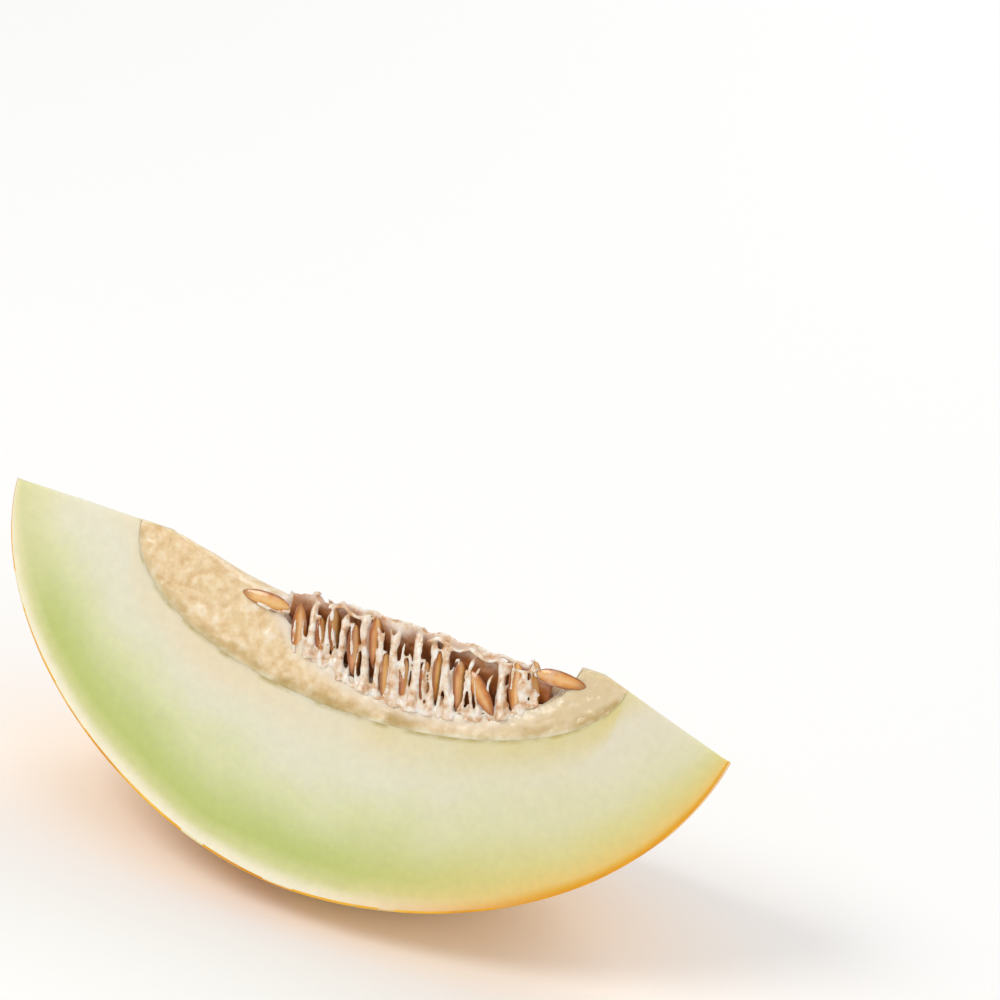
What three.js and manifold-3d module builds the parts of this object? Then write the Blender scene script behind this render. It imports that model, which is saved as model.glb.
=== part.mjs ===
// A wedge of yellow canary melon, cut lengthwise and standing on its rind with the ridge upwards.
//
// Frame: millimetres, +Z up, +X along the melon's own axis, origin on the surface it stands on,
// under the middle of its length. The melon's axis runs level at height MELON_RADIUS, and the two
// knife cuts meet along it, so it is also the wedge's ridge. The front cut faces -Y and up.
//
// Pieces: the firm flesh with its rind, which grew as one; the soft seed pulp that lies in the
// flesh's pocket, with strands that stand up in its hollow; and the seeds, each in its own socket.
import * as THREE from "three";
import { mergeVertices } from "three/addons/utils/BufferGeometryUtils.js";
import Module from "manifold-3d";

// Driving dimensions: the melon and the two cuts.
const MELON_LENGTH = 190;
const MELON_RADIUS = 73.7;
const WEDGE_ANGLE = 60;
// Shape of the melon's two ends: 2 is an ellipse, and less is more pointed.
const LEFT_FULLNESS = 1.76;
const RIGHT_FULLNESS = 1.98;
// The flat at the right end, where the thin ridge is pared off. It starts TRIM_LENGTH from the end,
// runs down the front cut to TRIM_DEPTH below the ridge, and slopes away to the back.
const TRIM_LENGTH = 36;
const TRIM_DEPTH = 10.7;
const TRIM_TILT = 35;

// The spindle of soft pulp round the melon's axis, and the hollow in it that the seeds fill. The
// hollow is as long as the row of seeds and a gap at each end, and the pulp runs on past both ends.
const PULP_RADIUS = 28.6;
const PULP_LEFT_END = 35.5;
const PULP_RIGHT_END = 13;
const HOLLOW_RADIUS = 22;
const HOLLOW_END_GAP = 8;
// Left of the hollow the pulp's ridge is worn down, on a slope that runs on a little into the hollow.
const WEAR_LENGTH = 27;
const WEAR_SLOPE = 18;
const WEAR_PAST_HOLLOW = 3;

// One seed, and how the seeds stand.
const SEED_LENGTH = 12.4;
const SEED_WIDTH = 4.6;
const SEED_THICKNESS = 1.5;
const SEED_LEAN = 18;
const SEED_SINK = 2;
const SEED_FACE_INSET = 0.2;
const LYING_SEED_DEPTH = 0.25;
const ROW_START_X = -22;

// Strands of pulp that stand between the seeds.
const STRAND_THICKNESS = 1.4;
const STRAND_WIDTH = 2.4;
const STRAND_ROOT = 3;
const STRAND_SHORTEST = 6;

// Clearance between pieces, and the wider one between neighbours in the row of seeds.
const CLEARANCE = 0.3;
const SEED_SPACING = 0.4;

// Facets.
const PROFILE_STEPS = 26;
const TURN_STEPS = 60;
const PULP_STEPS = 18;
const SEED_RINGS = 6;
const SEED_SIDES = 8;

const FRONT = -1;
const BACK = 1;
const HALF_ANGLE = THREE.MathUtils.degToRad(WEDGE_ANGLE / 2);
const LEAN = THREE.MathUtils.degToRad(SEED_LEAN);

// The seeds in their order along the melon. Each stands at the front or the back cut, and the two
// sides take turns. turn is how far a seed's flat side is turned to the cut, rock what it leans more
// than its neighbours, lift how far it stands above its place on the hollow's floor, and deep how
// much further below the cut it is. Where inner is given, a second seed stands behind the first,
// with that lift.
const SEED_ROW = [
  { side: FRONT, turn: -52, lift: -1 },
  { side: BACK, lift: 3 },
  { side: FRONT, turn: -25, rock: 4, inner: 1 },
  { side: FRONT, turn: -20, rock: 4, lift: 4.5 },
  { side: BACK, turn: 15, lift: 5 },
  { side: FRONT, turn: -35, lift: 3, inner: 1 },
  { side: BACK, lift: 7, inner: 1 },
  { side: FRONT, turn: -30, lift: 7 },
  { side: FRONT, turn: -25, inner: 3 },
  { side: BACK, lift: 3 },
  { side: FRONT, turn: -30, lift: 0.5, inner: 4 },
  { side: BACK, lift: 7.5, inner: 2 },
  { side: FRONT, turn: -32, lift: 1 },
  { side: FRONT, turn: -20, rock: -3, lift: 4, inner: 3 },
  { side: BACK, turn: 20, lift: 6 },
  { side: FRONT, turn: -32, lift: 2.5, inner: 2 },
  { side: FRONT, turn: 90, rock: 32, lift: 3 },
  { side: BACK, turn: 15 },
  { side: FRONT, turn: -50, lift: 1 },
  { side: FRONT, turn: -35, deep: 1.5 },
];

// Seeds that lie flat in the cuts beyond the two ends of the row: how far from the ridge, and how
// much they slope away from it towards +X.
const LYING_SEEDS = [
  { side: FRONT, end: "left", radius: 9, slope: 2 },
  { side: FRONT, end: "right", radius: 4.6, slope: -2 },
  { side: BACK, end: "right", radius: 9, slope: 20 },
];

const wasm = await Module();
wasm.setup();

// A closed geometry as a manifold-3d solid.
function solidOf(geometry, matrix = new THREE.Matrix4()) {
  const bare = geometry.clone().applyMatrix4(matrix);
  bare.deleteAttribute("normal");
  bare.deleteAttribute("uv");
  const merged = mergeVertices(bare, 1e-4);
  return new wasm.Manifold(
    new wasm.Mesh({
      numProp: 3,
      vertProperties: new Float32Array(merged.attributes.position.array),
      triVerts: new Uint32Array(merged.index.array),
    }),
  );
}

// A manifold-3d solid as a three.js geometry.
function geometryOf(solid) {
  const mesh = solid.getMesh();
  const geometry = new THREE.BufferGeometry();
  geometry.setAttribute("position", new THREE.BufferAttribute(mesh.vertProperties, 3));
  geometry.setIndex(new THREE.BufferAttribute(mesh.triVerts, 1));
  geometry.computeVertexNormals();
  return geometry;
}

// A body of revolution about the melon's axis. radiusAt(t) is its radius at t from 0 to 1 along it.
function spindle(fromX, toX, radiusAt, steps) {
  // A polygon inside the circle is a little flat at its middles, so it is grown to reach the radius.
  const grow = 1 / Math.cos(Math.PI / TURN_STEPS);
  const profile = [];
  for (let i = 0; i <= steps; i++) {
    const t = (1 - Math.cos((Math.PI * i) / steps)) / 2;
    const radius = i === 0 || i === steps ? 0 : grow * radiusAt(t);
    profile.push(new THREE.Vector2(radius, fromX + t * (toX - fromX)));
  }
  const alongX = new THREE.Matrix4().makeRotationZ(-Math.PI / 2);
  // The middle of a facet faces straight down, so that the wedge stands on a facet, not on an edge.
  const turned = new THREE.Matrix4().makeRotationX(Math.PI / TURN_STEPS);
  const lifted = new THREE.Matrix4().makeTranslation(0, 0, MELON_RADIUS);
  const place = lifted.multiply(turned).multiply(alongX);
  return solidOf(new THREE.LatheGeometry(profile, TURN_STEPS), place);
}

// The skin's distance from the axis at x.
function skinRadius(x) {
  const fullness = x < 0 ? LEFT_FULLNESS : RIGHT_FULLNESS;
  const along = Math.min(1, Math.abs(x) / (MELON_LENGTH / 2));
  return MELON_RADIUS * Math.pow(1 - Math.pow(along, fullness), 1 / fullness);
}

function melonBody() {
  const half = MELON_LENGTH / 2;
  return spindle(-half, half, (t) => skinRadius((t - 0.5) * MELON_LENGTH), PROFILE_STEPS);
}

// An ellipsoid about the axis.
function ellipsoid(fromX, toX, radius) {
  return spindle(fromX, toX, (t) => radius * Math.sqrt(1 - Math.pow(2 * t - 1, 2)), PULP_STEPS);
}

// The space between the two knife cuts: a long triangular prism with its edge along the axis.
function betweenCuts() {
  const reach = MELON_LENGTH;
  const across = reach * Math.tan(HALF_ANGLE);
  const section = new THREE.Shape();
  section.moveTo(0, MELON_RADIUS);
  section.lineTo(-across, MELON_RADIUS - reach);
  section.lineTo(across, MELON_RADIUS - reach);
  section.closePath();
  const geometry = new THREE.ExtrudeGeometry(section, { depth: 2 * reach, bevelEnabled: false });
  // The section is drawn in Y and Z, and runs along X.
  const axes = new THREE.Matrix4().makeBasis(
    new THREE.Vector3(0, 1, 0),
    new THREE.Vector3(0, 0, 1),
    new THREE.Vector3(1, 0, 0),
  );
  return solidOf(geometry, axes.setPosition(-reach, 0, 0));
}

// The block that lies on the trimmed flat at the right end.
function ridgeTrim() {
  const start = new THREE.Vector3(MELON_LENGTH / 2 - TRIM_LENGTH, 0, MELON_RADIUS);
  const end = facePoint(FRONT, MELON_LENGTH / 2, TRIM_DEPTH, 0);
  const along = end.sub(start).normalize();
  const tilt = THREE.MathUtils.degToRad(TRIM_TILT);
  const backwards = new THREE.Vector3(0, Math.cos(tilt), -Math.sin(tilt));
  const up = new THREE.Vector3().crossVectors(along, backwards).normalize();
  const axes = new THREE.Matrix4().makeBasis(along, new THREE.Vector3().crossVectors(up, along), up);
  const block = new THREE.BoxGeometry(3 * TRIM_LENGTH, MELON_LENGTH, MELON_RADIUS);
  block.translate(1.5 * TRIM_LENGTH, 0, MELON_RADIUS / 2);
  return solidOf(block, axes.setPosition(start));
}

// The block that lies on the worn part of the pulp's ridge.
function ridgeWear() {
  const slope = THREE.MathUtils.degToRad(WEAR_SLOPE);
  const length = (WEAR_LENGTH + WEAR_PAST_HOLLOW) / Math.cos(slope);
  const block = new THREE.BoxGeometry(length, MELON_LENGTH, MELON_RADIUS);
  block.translate(length / 2, 0, MELON_RADIUS / 2);
  const place = new THREE.Matrix4().makeTranslation(hollowFrom - WEAR_LENGTH, 0, MELON_RADIUS);
  return solidOf(block, place.multiply(new THREE.Matrix4().makeRotationY(slope)));
}

// The direction out of a cut, and the direction up it towards the ridge.
function outOf(side) {
  return new THREE.Vector3(0, side * Math.cos(HALF_ANGLE), Math.sin(HALF_ANGLE));
}

function upAlong(side) {
  return new THREE.Vector3(0, -side * Math.sin(HALF_ANGLE), Math.cos(HALF_ANGLE));
}

// A point at a distance from the ridge along a cut and a depth below it.
function facePoint(side, x, radius, depth) {
  const point = new THREE.Vector3(x, 0, MELON_RADIUS);
  return point.addScaledVector(upAlong(side), -radius).addScaledVector(outOf(side), -depth);
}

// Axes for what lies flat in a cut: X along the melon, Y out of the cut, Z up it.
function faceAxes(side) {
  const along = new THREE.Vector3(side, 0, 0);
  return new THREE.Matrix4().makeBasis(along, outOf(side), upAlong(side));
}

// The seeds stand in slots, which are parallel planes across the whole wedge, so that seeds of
// different slots never meet. Axes for what stands in a slot: X across it, Y out, Z up the cut.
function slotAxes(side) {
  const across = new THREE.Vector3(Math.cos(LEAN), 0, Math.sin(LEAN)).multiplyScalar(side);
  const up = new THREE.Vector3().crossVectors(across, outOf(side)).normalize();
  const out = new THREE.Vector3().crossVectors(up, across);
  return new THREE.Matrix4().makeBasis(across, out, up);
}

// Where a slot is at a depth straight down from the ridge.
function slotX(mark, down) {
  return ROW_START_X + mark + down * Math.tan(LEAN);
}

function pointInSlot(side, mark, radius, depth) {
  const down = radius * Math.cos(HALF_ANGLE) + depth * Math.sin(HALF_ANGLE);
  return facePoint(side, slotX(mark, down), radius, depth);
}

// A turn in the plane of a cut that sends the lower end towards +X.
function leaned(side, angle) {
  return new THREE.Matrix4().makeRotationY(-side * angle);
}

// A seed about its own middle: length along Z with the pointed end down, width along Y, thickness
// along X. extra grows it on every side, for the socket that it lies in.
function seedGeometry(extra = 0) {
  const profile = [];
  for (let i = 0; i <= SEED_RINGS; i++) {
    const t = (1 - Math.cos((Math.PI * i) / SEED_RINGS)) / 2;
    const round = Math.sqrt(1 - Math.pow(2 * t - 1, 2));
    const taper = 0.78 + 0.34 * t;
    const radius = i === 0 || i === SEED_RINGS ? 0 : (SEED_WIDTH / 2 + extra) * round * taper;
    profile.push(new THREE.Vector2(radius, (t - 0.5) * (SEED_LENGTH + 2 * extra)));
  }
  const geometry = new THREE.LatheGeometry(profile, SEED_SIDES);
  geometry.rotateX(Math.PI / 2);
  geometry.scale((SEED_THICKNESS / 2 + extra) / (SEED_WIDTH / 2 + extra), 1, 1);
  return geometry;
}

// How far a seed reaches from its middle in a direction, when its axes are those of a matrix.
function seedReach(axes, direction) {
  const [across, out, up] = [0, 1, 2].map((i) => new THREE.Vector3().setFromMatrixColumn(axes, i));
  return Math.hypot(
    (SEED_THICKNESS / 2) * across.dot(direction),
    (SEED_WIDTH / 2) * out.dot(direction),
    (SEED_LENGTH / 2) * up.dot(direction),
  );
}

function standingAxes({ side, turn = 0, rock = 0 }) {
  const rocked = leaned(side, THREE.MathUtils.degToRad(rock));
  const turned = new THREE.Matrix4().makeRotationZ(THREE.MathUtils.degToRad(turn));
  return slotAxes(side).multiply(rocked).multiply(turned);
}

// The row of seeds with its slots packed one after the other. mark is where the middle of a seed's
// slot crosses the ridge.
function packRow(seeds) {
  const across = new THREE.Vector3(Math.cos(LEAN), 0, Math.sin(LEAN));
  let edge = 0;
  return seeds.map((seed) => {
    const half = seedReach(standingAxes(seed), across) / Math.cos(LEAN);
    const mark = edge + half;
    edge += 2 * half + SEED_SPACING / Math.cos(LEAN);
    return { ...seed, mark };
  });
}

// The seeds that stand behind others of the row, in the same slots.
function innerSeeds(row) {
  const deep = SEED_WIDTH + CLEARANCE;
  const withInner = row.filter(({ inner }) => inner !== undefined);
  return withInner.map(({ side, mark, inner }) => ({ side, mark, lift: inner, deep }));
}

const row = packRow(SEED_ROW);
const rowEnd = row[row.length - 1].mark + SEED_THICKNESS;
const hollowFrom = slotX(0, HOLLOW_RADIUS / 2) - HOLLOW_END_GAP;
const hollowTo = slotX(rowEnd, HOLLOW_RADIUS / 2) + HOLLOW_END_GAP;

// The hollow's floor below a slot, as a distance from the ridge.
function floorRadius(mark) {
  const x = slotX(mark, HOLLOW_RADIUS * Math.cos(HALF_ANGLE));
  const along = (2 * x - hollowFrom - hollowTo) / (hollowTo - hollowFrom);
  return HOLLOW_RADIUS * Math.sqrt(Math.max(0, 1 - along * along));
}

function placeInRow(seed) {
  const { side, mark, lift = 0, deep = 0 } = seed;
  const axes = standingAxes(seed);
  const up = new THREE.Vector3().setFromMatrixColumn(axes, 2);
  const foot = floorRadius(mark) + SEED_SINK - lift;
  const middle = foot - (SEED_LENGTH / 2) * up.dot(upAlong(side));
  const depth = SEED_FACE_INSET + deep + seedReach(axes, outOf(side));
  return axes.setPosition(pointInSlot(side, mark, middle, depth));
}

function placeLying({ side, end, radius, slope }) {
  const down = radius * Math.cos(HALF_ANGLE);
  const away = CLEARANCE + SEED_LENGTH / 2;
  const x = end === "left" ? slotX(0, down) - away : slotX(rowEnd, down) + away;
  const alongRidge = Math.PI / 2 - THREE.MathUtils.degToRad(slope);
  const flatTurn = new THREE.Matrix4().makeRotationZ(Math.PI / 2);
  const axes = faceAxes(side).multiply(leaned(side, alongRidge)).multiply(flatTurn);
  return axes.setPosition(facePoint(side, x, radius, LYING_SEED_DEPTH));
}

// A strand stands at the other cut in the slot of each seed, up to where those seeds come near.
function strandSpan({ mark, inner }) {
  const seedsDeep = inner === undefined ? 1 : 2;
  const mine = SEED_FACE_INSET + STRAND_WIDTH;
  const theirs = SEED_FACE_INSET + seedsDeep * (SEED_WIDTH + CLEARANCE);
  const spread = Math.tan(HALF_ANGLE);
  const top = (mine + theirs) / (2 * spread) + ((theirs - mine) * spread) / 2 + CLEARANCE;
  return { top, foot: floorRadius(mark) + STRAND_ROOT };
}

function strandSolid(seed) {
  const side = -seed.side;
  const { top, foot } = strandSpan(seed);
  const geometry = new THREE.BoxGeometry(STRAND_THICKNESS, STRAND_WIDTH, foot - top);
  const axes = slotAxes(side);
  const depth = SEED_FACE_INSET + STRAND_WIDTH / 2;
  return solidOf(geometry, axes.setPosition(pointInSlot(side, seed.mark, (top + foot) / 2, depth)));
}

const cuts = betweenCuts();
const trim = ridgeTrim();
const places = [
  ...row.map(placeInRow),
  ...innerSeeds(row).map(placeInRow),
  ...LYING_SEEDS.map(placeLying),
];

function pulpSpindle(extra) {
  const fromX = hollowFrom - PULP_LEFT_END - extra;
  const toX = hollowTo + PULP_RIGHT_END + extra;
  return ellipsoid(fromX, toX, PULP_RADIUS + extra);
}

function fleshAndRind() {
  return melonBody().intersect(cuts).subtract(pulpSpindle(CLEARANCE)).subtract(trim);
}

function seedPulp() {
  const hollow = ellipsoid(hollowFrom, hollowTo, HOLLOW_RADIUS);
  let pulp = pulpSpindle(0).intersect(cuts).subtract(hollow).subtract(trim).subtract(ridgeWear());
  // Where the hollow is shallow there is no room for a strand.
  const roomForStrand = (seed) => {
    const { top, foot } = strandSpan(seed);
    return foot - top > STRAND_SHORTEST;
  };
  for (const seed of row.filter(roomForStrand)) {
    pulp = pulp.add(strandSolid(seed));
  }
  const socket = seedGeometry(CLEARANCE);
  for (const place of places) {
    pulp = pulp.subtract(solidOf(socket, place));
  }
  return pulp;
}

// Materials.
const fleshMaterial = new THREE.MeshStandardMaterial({ color: 0xdfe0bd, roughness: 0.35 });
const pulpMaterial = new THREE.MeshStandardMaterial({ color: 0xe8cfa8, roughness: 0.3 });
const seedMaterial = new THREE.MeshStandardMaterial({ color: 0xc27a3c, roughness: 0.25 });

const group = new THREE.Group();

function addPiece(name, geometry, material) {
  const mesh = new THREE.Mesh(geometry, material);
  mesh.name = name;
  group.add(mesh);
  return mesh;
}

const flesh = addPiece("flesh_and_rind", geometryOf(fleshAndRind()), fleshMaterial);
addPiece("seed_pulp", geometryOf(seedPulp()), pulpMaterial);
places.forEach((place, index) => {
  const number = String(index + 1).padStart(2, "0");
  addPiece(`seed_${number}`, seedGeometry(), seedMaterial).applyMatrix4(place);
});

// Everything above counts X from the middle of the whole melon. The trimmed right end is a little
// shorter, so the wedge moves until the origin is under the middle of what is left.
flesh.geometry.computeBoundingBox();
const { min, max } = flesh.geometry.boundingBox;
group.position.x = -(min.x + max.x) / 2;

export default group;
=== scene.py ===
# %% [markdown]
# # A wedge of yellow canary melon
# The CAD model holds the wedge's size: the flesh with its rind, the seed pulp and each seed. Here
# each of them gets the surface of the real fruit. All lengths are in metres, +X runs along the
# melon's own axis, +Z is up, and the wedge stands on its rind with its ridge on top.

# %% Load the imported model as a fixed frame
import math
import random

import bmesh
import bpy
import numpy as np
from mathutils import Matrix, Vector, noise


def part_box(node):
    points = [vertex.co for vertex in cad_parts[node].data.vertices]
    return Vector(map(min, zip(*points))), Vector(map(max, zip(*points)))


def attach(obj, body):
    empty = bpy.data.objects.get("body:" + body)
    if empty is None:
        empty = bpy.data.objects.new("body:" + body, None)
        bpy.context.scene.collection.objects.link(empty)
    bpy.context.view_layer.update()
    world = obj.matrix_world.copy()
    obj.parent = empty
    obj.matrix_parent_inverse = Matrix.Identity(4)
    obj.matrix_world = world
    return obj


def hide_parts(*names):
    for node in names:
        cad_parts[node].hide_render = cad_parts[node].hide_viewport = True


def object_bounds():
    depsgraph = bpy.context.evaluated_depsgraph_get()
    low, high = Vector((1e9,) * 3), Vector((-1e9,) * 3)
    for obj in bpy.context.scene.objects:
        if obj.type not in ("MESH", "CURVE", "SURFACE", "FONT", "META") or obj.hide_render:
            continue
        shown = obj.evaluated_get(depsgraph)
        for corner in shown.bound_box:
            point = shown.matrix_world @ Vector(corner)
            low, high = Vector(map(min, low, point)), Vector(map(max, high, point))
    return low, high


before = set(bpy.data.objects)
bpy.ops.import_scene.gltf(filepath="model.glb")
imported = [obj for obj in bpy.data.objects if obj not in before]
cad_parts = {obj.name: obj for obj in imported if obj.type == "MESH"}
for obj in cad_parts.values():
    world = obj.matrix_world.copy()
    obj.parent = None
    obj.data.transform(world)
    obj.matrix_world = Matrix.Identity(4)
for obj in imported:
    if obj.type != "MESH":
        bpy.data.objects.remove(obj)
cad_low, cad_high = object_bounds()
print("CAD box", tuple(cad_low), tuple(cad_high))

MM = 0.001
rng = random.Random(7)

# %% [markdown]
# ## The melon's own shape
# A canary melon is a spindle: its skin is a curve turned about the axis, a little more pointed at
# the left end than at the right. Both knife cuts meet along the axis, which is the ridge of the
# wedge. The sizes that can be read from the CAD's boxes are read from them.

# %% Sizes of the melon and of the seed hollow
MELON_LENGTH = 190 * MM
LEFT_FULLNESS = 1.76
RIGHT_FULLNESS = 1.98
TRIM_LENGTH = 36 * MM
TRIM_DEPTH = 10.7 * MM
TRIM_TILT = math.radians(35)
PULP_OVERLAP = 0.25 * MM
HOLLOW_FROM = -25.9 * MM
HOLLOW_TO = 53.6 * MM
HOLLOW_RADIUS = 22 * MM
WEAR_LENGTH = 27 * MM
WEAR_SLOPE = math.radians(18)
WEAR_PAST_HOLLOW = 3 * MM
WEAR_FADE = 1 * MM

RIDGE_Z = cad_high[2]
HALF_ANGLE = math.asin(cad_high[1] / RIDGE_Z)
MIDDLE_X = cad_low[0] + MELON_LENGTH / 2
pulp_low, pulp_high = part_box("seed_pulp")
PULP_RADIUS = RIDGE_Z - pulp_low[2]
print("ridge %.1f mm up, half angle %.1f degrees" % (RIDGE_Z / MM, math.degrees(HALF_ANGLE)))


def skin_radius(x):
    fullness = LEFT_FULLNESS if x < MIDDLE_X else RIGHT_FULLNESS
    along = min(1.0, abs(x - MIDDLE_X) / (MELON_LENGTH / 2))
    return RIDGE_Z * (1 - along**fullness) ** (1 / fullness)


def spindle_radius(x, from_x, to_x, radius):
    """The radius at x of an ellipsoid about the axis, and 0 beyond its ends."""
    along = (2 * x - from_x - to_x) / (to_x - from_x)
    return radius * math.sqrt(max(0.0, 1 - along * along))


def pulp_radius(x):
    return spindle_radius(x, pulp_low[0], pulp_high[0], PULP_RADIUS)


def hollow_radius(x):
    return spindle_radius(x, HOLLOW_FROM, HOLLOW_TO, HOLLOW_RADIUS)


def around_axis(x, radius, angle):
    """A point at an angle from straight down, positive towards the back cut."""
    return Vector((x, radius * math.sin(angle), RIDGE_Z - radius * math.cos(angle)))


def wobble(point, size, seed=0.0):
    """Smooth noise from about -1 to 1 whose bumps are size across."""
    return noise.noise(point / size + Vector((seed, seed * 0.7, -seed)))


# %% [markdown]
# ## Lofted grids
# Flesh, pulp and hollow all have sections that are slices of a circle. So each solid is a loft:
# one closed loop of points per station along X, joined to the next one by four-sided faces. Where
# a loop shrinks to a point or a line, the doubled points are merged.


# %% A loft from closed loops
def loft(name, loops):
    """A mesh object from equally long closed loops of points, closed at its two ends."""
    count = len(loops[0])
    points = [point for loop in loops for point in loop]
    faces = []
    for i in range(len(loops) - 1):
        for k in range(count):
            a, b = i * count + k, i * count + (k + 1) % count
            faces.append((a, b, b + count, a + count))
    faces.append(tuple(reversed(range(count))))
    faces.append(tuple(range((len(loops) - 1) * count, len(loops) * count)))
    mesh = bpy.data.meshes.new(name)
    mesh.from_pydata(points, [], faces)
    piece = bpy.data.objects.new(name, mesh)
    bpy.context.scene.collection.objects.link(piece)
    return piece


def tidy_mesh(bm, merge=0.02 * MM):
    bmesh.ops.remove_doubles(bm, verts=bm.verts, dist=merge)
    bmesh.ops.dissolve_degenerate(bm, edges=bm.edges, dist=merge)
    loose = [vertex for vertex in bm.verts if not vertex.link_faces]
    bmesh.ops.delete(bm, geom=loose, context="VERTS")
    bmesh.ops.recalc_face_normals(bm, faces=bm.faces)


def smooth_all(piece):
    for polygon in piece.data.polygons:
        polygon.use_smooth = True


def crowded(count, power):
    """Numbers from 0 to 1 that crowd together at 0."""
    return [(k / count) ** power for k in range(count + 1)]


def section(x, inner, outer, face_steps, rind_steps, inner_steps, power=1.0):
    """One loop: down the front cut, round under the outside, up the back cut, back along the inside."""
    down = [outer - (outer - inner) * t for t in reversed(crowded(face_steps, power))]
    loop = [around_axis(x, radius, -HALF_ANGLE) for radius in down]
    for k in range(1, rind_steps):
        loop.append(around_axis(x, outer, HALF_ANGLE * (2 * k / rind_steps - 1)))
    loop += [around_axis(x, radius, HALF_ANGLE) for radius in reversed(down)]
    for k in range(1, inner_steps):
        loop.append(around_axis(x, inner, HALF_ANGLE * (1 - 2 * k / inner_steps)))
    return loop


# %% [markdown]
# ## Flesh and rind
# The flesh and its skin grew as one, so they are one piece. The loft's points crowd near the skin,
# where the colour changes within a millimetre. The slanting flat at the right end, where the thin
# ridge was trimmed off, is cut with a plane. A knife never leaves a cut quite flat, so the surface
# then moves by a few tenths of a millimetre, and the skin gets the shallow furrows of its kind.

# %% Loft the flesh
FLESH_STATIONS = 230
KNIFE_WAVE = 0.22 * MM
SKIN_FURROW = 0.3 * MM


def flesh_loops():
    loops = []
    for i in range(FLESH_STATIONS + 1):
        x = MIDDLE_X - MELON_LENGTH / 2 * math.cos(math.pi * i / FLESH_STATIONS)
        outer = max(skin_radius(x), 0.01 * MM)
        inner = min(pulp_radius(x), outer * 0.98)
        loops.append(section(x, inner, outer, 44, 44, 14, power=1.9))
    return loops


def slice_off(piece, point, normal):
    """Cuts away what lies beyond a plane, as a knife would, and closes the cut."""
    bm = bmesh.new()
    bm.from_mesh(piece.data)
    tidy_mesh(bm, 0.01 * MM)
    geometry = bm.verts[:] + bm.edges[:] + bm.faces[:]
    cut = bmesh.ops.bisect_plane(bm, geom=geometry, plane_co=point, plane_no=normal, clear_outer=True)
    rim = [item for item in cut["geom_cut"] if isinstance(item, bmesh.types.BMEdge)]
    bmesh.ops.triangle_fill(bm, edges=rim, use_beauty=True, normal=normal)
    bmesh.ops.recalc_face_normals(bm, faces=bm.faces)
    bm.to_mesh(piece.data)
    bm.free()


flesh = loft("flesh_and_rind_piece", flesh_loops())
trim_point = Vector((MIDDLE_X + MELON_LENGTH / 2 - TRIM_LENGTH, 0, RIDGE_Z))
trim_end = around_axis(MIDDLE_X + MELON_LENGTH / 2, TRIM_DEPTH, -HALF_ANGLE)
downwards = Vector((0, math.cos(TRIM_TILT), -math.sin(TRIM_TILT)))
trim_normal = (trim_end - trim_point).cross(downwards).normalized()
slice_off(flesh, trim_point, trim_normal)
print("flesh", len(flesh.data.polygons), "faces")

# %% [markdown]
# The colours of a cut melon follow the fruit's own growth: how deep a point lies under the skin, and
# how far it is from the seed pulp. Both are measured here for every point and stored on the mesh in
# millimetres, so that the material can blend its zones along them.


# %% Measure every point of the flesh
def store(piece, name, values):
    layer = piece.data.attributes.new(name, "FLOAT", "POINT")
    layer.data.foreach_set("value", values)


def axis_distance(point):
    return math.hypot(point.y, RIDGE_Z - point.z)


def measure_flesh(piece):
    under_skin, from_pulp, lengthways = [], [], []
    for vertex in piece.data.vertices:
        point = vertex.co
        radius = axis_distance(point)
        under_skin.append((skin_radius(point.x) - radius) / MM)
        beyond = max(pulp_low[0] - point.x, point.x - pulp_high[0], 0.0)
        from_pulp.append((radius - pulp_radius(point.x) + beyond) / MM)
        lengthways.append((point.x - MIDDLE_X) / MELON_LENGTH + 0.5)
    store(piece, "under_skin_mm", under_skin)
    store(piece, "from_pulp_mm", from_pulp)
    store(piece, "lengthways", lengthways)


measure_flesh(flesh)


def knife_wave(point):
    return KNIFE_WAVE * (wobble(point, 23 * MM, 1.3) + 0.5 * wobble(point, 6 * MM, 8.9) - 0.6)


def out_of(side):
    """The direction out of the front cut (-1) or the back cut (1)."""
    return Vector((0, side * math.cos(HALF_ANGLE), math.sin(HALF_ANGLE)))


def roughen_flesh(piece):
    for vertex in piece.data.vertices:
        point = vertex.co.copy()
        on_skin = skin_radius(point.x) - axis_distance(point) < 0.05 * MM
        if on_skin:
            furrow = wobble(Vector((point.x * 0.3, point.y, point.z)), 7 * MM, 3.1)
            outward = Vector((0, point.y, point.z - RIDGE_Z)).normalized()
            lift = SKIN_FURROW * (furrow - 0.6)
            vertex.co += outward * min(lift, 0.0)
        else:
            vertex.co += out_of(-1 if point.y < 0 else 1) * knife_wave(point)


roughen_flesh(flesh)
smooth_all(flesh)


def mark_skin(piece, cut_slot, skin_slot):
    """Gives the faces that lie on the melon's outside the skin's material."""
    for polygon in piece.data.polygons:
        centre = sum((piece.data.vertices[i].co for i in polygon.vertices), Vector())
        centre /= len(polygon.vertices)
        angle = math.atan2(centre.y, RIDGE_Z - centre.z)
        deep = skin_radius(centre.x) - axis_distance(centre)
        inside_cuts = abs(angle) < HALF_ANGLE * 0.999
        polygon.material_index = skin_slot if deep < 0.6 * MM and inside_cuts else cut_slot


def sharpen(piece, degrees):
    """Keeps an edge crisp where two surfaces meet more steeply than this."""
    bm = bmesh.new()
    bm.from_mesh(piece.data)
    for edge in bm.edges:
        if len(edge.link_faces) == 2 and edge.calc_face_angle(0) > math.radians(degrees):
            edge.smooth = False
    bm.to_mesh(piece.data)
    bm.free()


sharpen(flesh, 35)

# %% [markdown]
# ## The seeds
# A melon seed is a flat teardrop, pointed where it hung in the pulp and round at the other end, with
# a thin raised margin all round. The CAD says where each one is: the longest, middle and shortest
# axes of its solid are the seed's length, width and thickness. A finer seed is built along the same
# axes, so none of them moves.


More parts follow.
